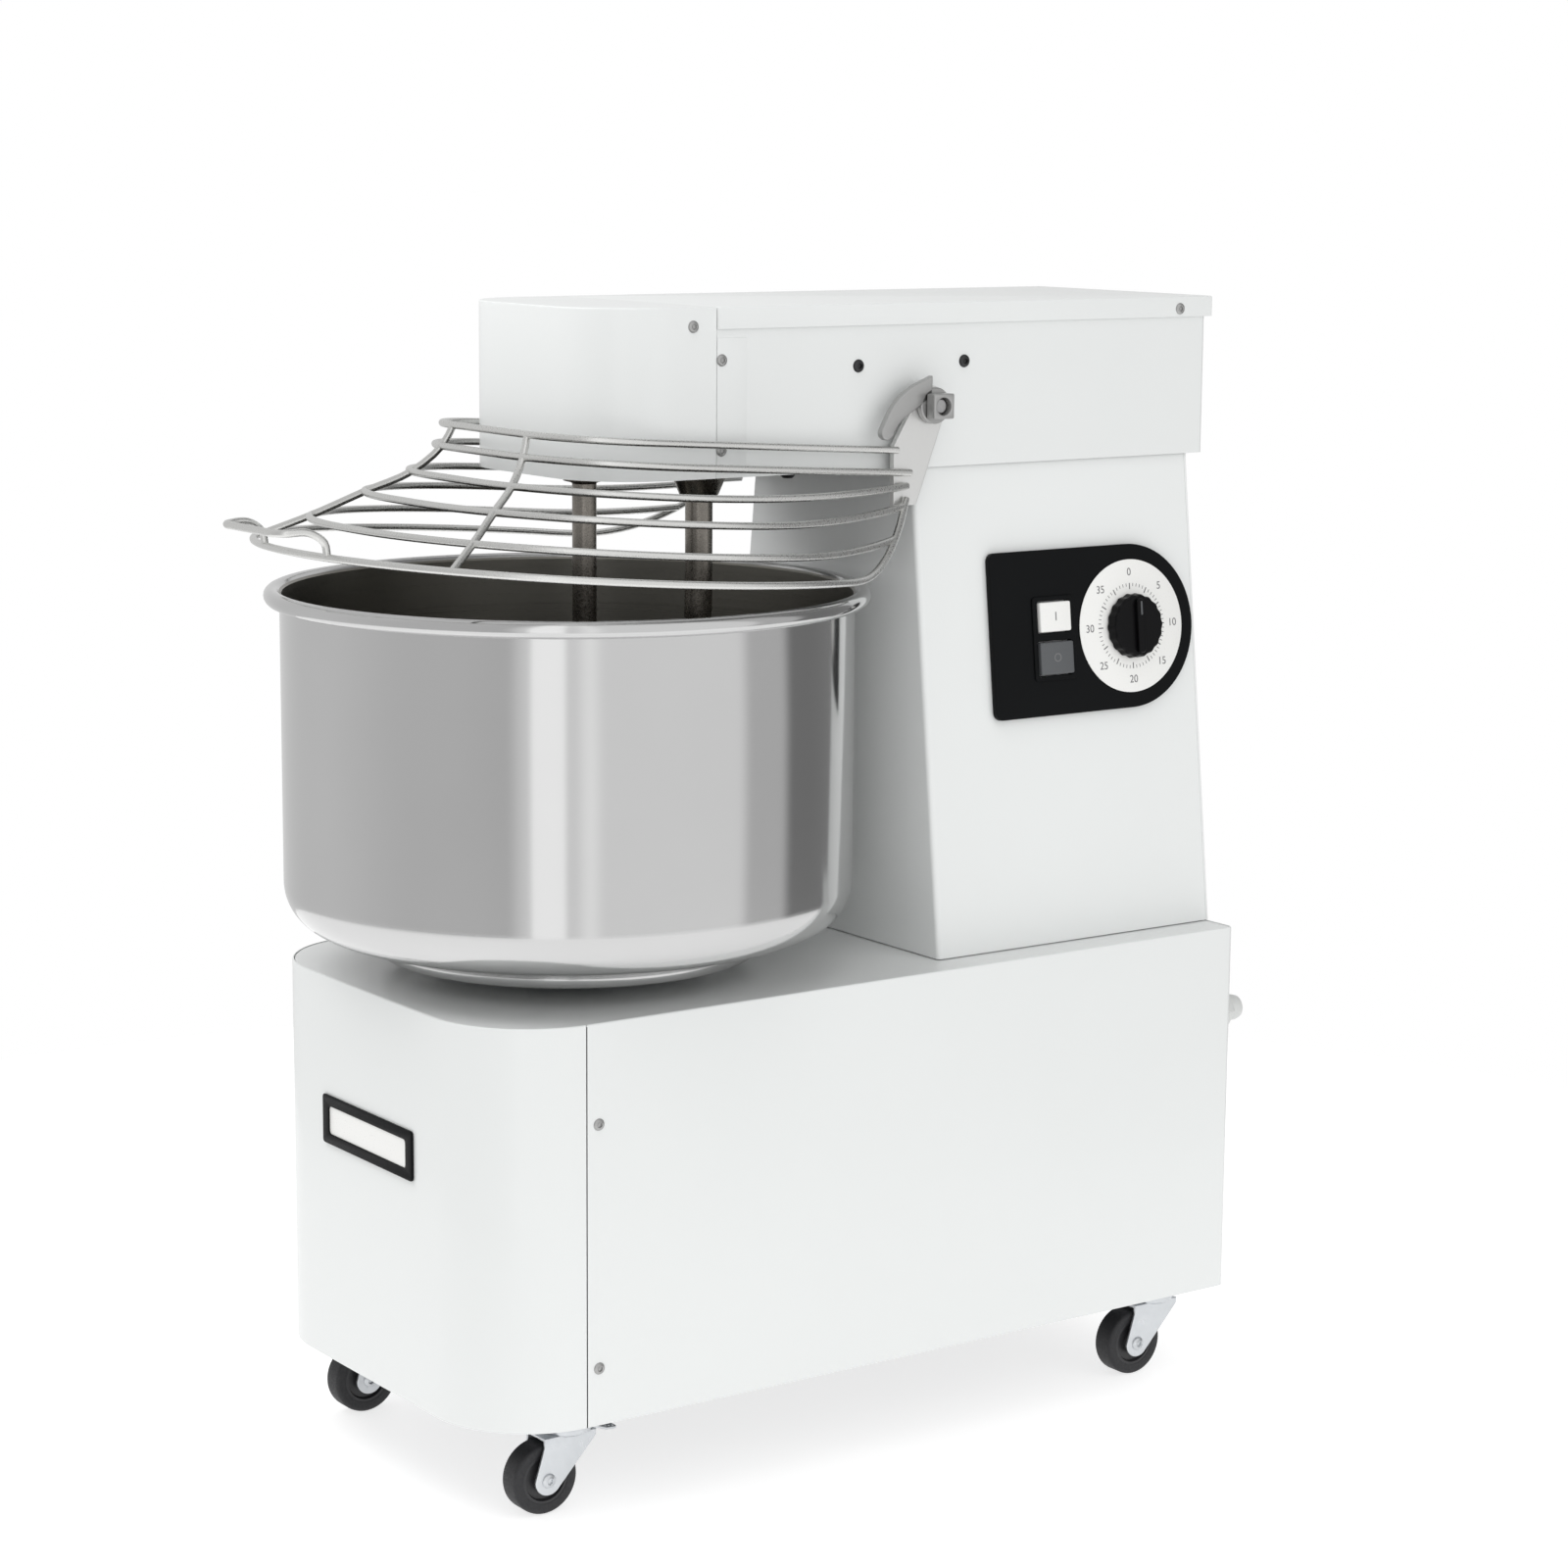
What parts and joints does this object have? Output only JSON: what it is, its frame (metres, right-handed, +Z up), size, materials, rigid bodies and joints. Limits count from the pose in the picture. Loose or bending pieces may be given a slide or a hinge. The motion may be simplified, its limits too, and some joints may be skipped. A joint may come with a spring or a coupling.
{
  "type": "spiral dough mixer",
  "caption": "Floor-standing spiral dough mixer with a turning steel bowl, spiral tool and breaker bar, a wire guard that lifts, a side timer panel and swivel castors.",
  "frame": {"origin": "on the floor, under the middle of the whole machine from the guard handle to the rear edge of the lid", "axes": "+Z up, +X towards the side with the control panel, -Y towards the bowl and the guard handle at the front"},
  "size_m": [0.4392, 0.7503, 0.811],
  "materials": {
    "white_paint": "gloss white powder coat",
    "stainless": "brushed stainless",
    "steel": "machined steel",
    "dark_steel": "dark primed steel",
    "zinc": "zinc plated",
    "cast_grey": "grey painted casting",
    "black_plastic": "black satin plastic",
    "grey_plastic": "dark grey plastic",
    "white_plastic": "white plastic",
    "black_rubber": "black rubber",
    "bronze": "bronze",
    "motor_paint": "blue enamel"
  },
  "bodies": {
    "body": {"front_cover": "white_paint", "side_shell": "white_paint", "chassis_tray": "dark_steel", "deck_plate": "white_paint", "nameplate": "black_plastic", "cable_gland": "black_plastic", "rear_cover": "white_paint", "column_shell": "white_paint", "control_panel": "black_plastic", "dial_scale": "white_plastic", "nose_cover": "white_paint", "head_housing": "white_paint", "head_lid": "white_paint", "head_frame": "dark_steel", "head_plug": "dark_steel", "bowl_bearing": "cast_grey", "bowl_chain": "steel", "spiral_chain": "steel", "lower_bearing": "cast_grey", "upper_bearing": "cast_grey", "gearbox_case": "cast_grey", "gearbox_cover": "cast_grey", "motor": "motor_paint", "spiral_bearing": "cast_grey", "breaker_bar": "stainless", "safety_switch": "grey_plastic", "castor_plate_front_left": "zinc", "castor_plate_front_right": "zinc", "castor_plate_rear_left": "zinc", "castor_plate_rear_right": "zinc"},
    "bowl_group": {"bowl": "stainless", "bowl_carrier": "cast_grey", "bowl_sprocket": "steel"},
    "main_shaft_group": {"main_shaft": "steel", "lower_sprocket": "steel", "upper_sprocket": "steel", "worm_wheel": "bronze"},
    "worm_group": {"worm_shaft": "steel"},
    "spiral_group": {"spiral_tool": "stainless", "spiral_sprocket": "steel"},
    "guard_group": {"guard_grid": "stainless", "guard_handle": "stainless", "guard_axle": "steel", "guard_cam": "zinc", "axle_nut_right": "zinc", "axle_nut_left": "zinc"},
    "knob_group": {"timer_knob": "black_plastic"},
    "start_group": {"start_button": "white_plastic"},
    "stop_group": {"stop_button": "grey_plastic"},
    "swivel_front_left": {"castor_fork_front_left": "zinc"},
    "wheel_front_left": {"castor_wheel_front_left": "black_rubber"},
    "pedal_front_left": {"brake_pedal_front_left": "zinc"},
    "swivel_front_right": {"castor_fork_front_right": "zinc"},
    "wheel_front_right": {"castor_wheel_front_right": "black_rubber"},
    "pedal_front_right": {"brake_pedal_front_right": "zinc"},
    "swivel_rear_left": {"castor_fork_rear_left": "zinc"},
    "wheel_rear_left": {"castor_wheel_rear_left": "black_rubber"},
    "swivel_rear_right": {"castor_fork_rear_right": "zinc"},
    "wheel_rear_right": {"castor_wheel_rear_right": "black_rubber"}
  },
  "joints": [
    {"name": "bowl_spin", "type": "hinge", "parent": "body", "child": "bowl_group", "pos_m": [0, -0.1265, 0.37], "axis": [0, 0, 1], "continuous": true},
    {"name": "main_shaft_spin", "type": "hinge", "parent": "body", "child": "main_shaft_group", "pos_m": [0, 0.1625, 0.44], "axis": [0, 0, 1], "continuous": true},
    {"name": "spiral_spin", "type": "hinge", "parent": "body", "child": "spiral_group", "pos_m": [0, -0.0175, 0.6], "axis": [0, 0, 1], "continuous": true},
    {"name": "worm_spin", "type": "hinge", "parent": "body", "child": "worm_group", "pos_m": [0.052, 0.1625, 0.44], "axis": [0, 1, 0], "continuous": true},
    {"name": "guard_lift", "type": "hinge", "parent": "body", "child": "guard_group", "pos_m": [0, 0.1045, 0.7395], "axis": [-1, 0, 0], "range_deg": [0, 75]},
    {"name": "timer_turn", "type": "hinge", "parent": "body", "child": "knob_group", "pos_m": [0.1188, 0.2875, 0.57189], "axis": [0.9938, 0, 0.1112], "range_deg": [-300, 0]},
    {"name": "start_press", "type": "slide", "parent": "body", "child": "start_group", "axis": [-0.9938, 0, -0.1112], "range_m": [0, 0.003], "stiffness_N_per_m": 400},
    {"name": "stop_press", "type": "slide", "parent": "body", "child": "stop_group", "axis": [-0.9938, 0, -0.1112], "range_m": [0, 0.003], "stiffness_N_per_m": 400},
    {"name": "swivel_turn_front_left", "type": "hinge", "parent": "body", "child": "swivel_front_left", "pos_m": [-0.125, -0.2085, 0.06], "axis": [0, 0, 1], "continuous": true},
    {"name": "wheel_roll_front_left", "type": "hinge", "parent": "swivel_front_left", "child": "wheel_front_left", "pos_m": [-0.125, -0.2295, 0.025], "axis": [1, 0, 0], "continuous": true},
    {"name": "pedal_tip_front_left", "type": "hinge", "parent": "swivel_front_left", "child": "pedal_front_left", "pos_m": [-0.125, -0.1905, 0.053], "axis": [-1, 0, 0], "range_deg": [0, 12]},
    {"name": "swivel_turn_front_right", "type": "hinge", "parent": "body", "child": "swivel_front_right", "pos_m": [0.125, -0.2085, 0.06], "axis": [0, 0, 1], "continuous": true},
    {"name": "wheel_roll_front_right", "type": "hinge", "parent": "swivel_front_right", "child": "wheel_front_right", "pos_m": [0.125, -0.2295, 0.025], "axis": [1, 0, 0], "continuous": true},
    {"name": "pedal_tip_front_right", "type": "hinge", "parent": "swivel_front_right", "child": "pedal_front_right", "pos_m": [0.125, -0.1905, 0.053], "axis": [-1, 0, 0], "range_deg": [0, 12]},
    {"name": "swivel_turn_rear_left", "type": "hinge", "parent": "body", "child": "swivel_rear_left", "pos_m": [-0.125, 0.3145, 0.06], "axis": [0, 0, 1], "continuous": true},
    {"name": "wheel_roll_rear_left", "type": "hinge", "parent": "swivel_rear_left", "child": "wheel_rear_left", "pos_m": [-0.125, 0.2935, 0.025], "axis": [1, 0, 0], "continuous": true},
    {"name": "swivel_turn_rear_right", "type": "hinge", "parent": "body", "child": "swivel_rear_right", "pos_m": [0.125, 0.3145, 0.06], "axis": [0, 0, 1], "continuous": true},
    {"name": "wheel_roll_rear_right", "type": "hinge", "parent": "swivel_rear_right", "child": "wheel_rear_right", "pos_m": [0.125, 0.2935, 0.025], "axis": [1, 0, 0], "continuous": true}
  ],
  "couplings": [
    {"joint": "main_shaft_spin", "follows": "bowl_spin", "ratio": 5.6667},
    {"joint": "spiral_spin", "follows": "bowl_spin", "ratio": 7.9333},
    {"joint": "worm_spin", "follows": "bowl_spin", "ratio": 45.333}
  ]
}
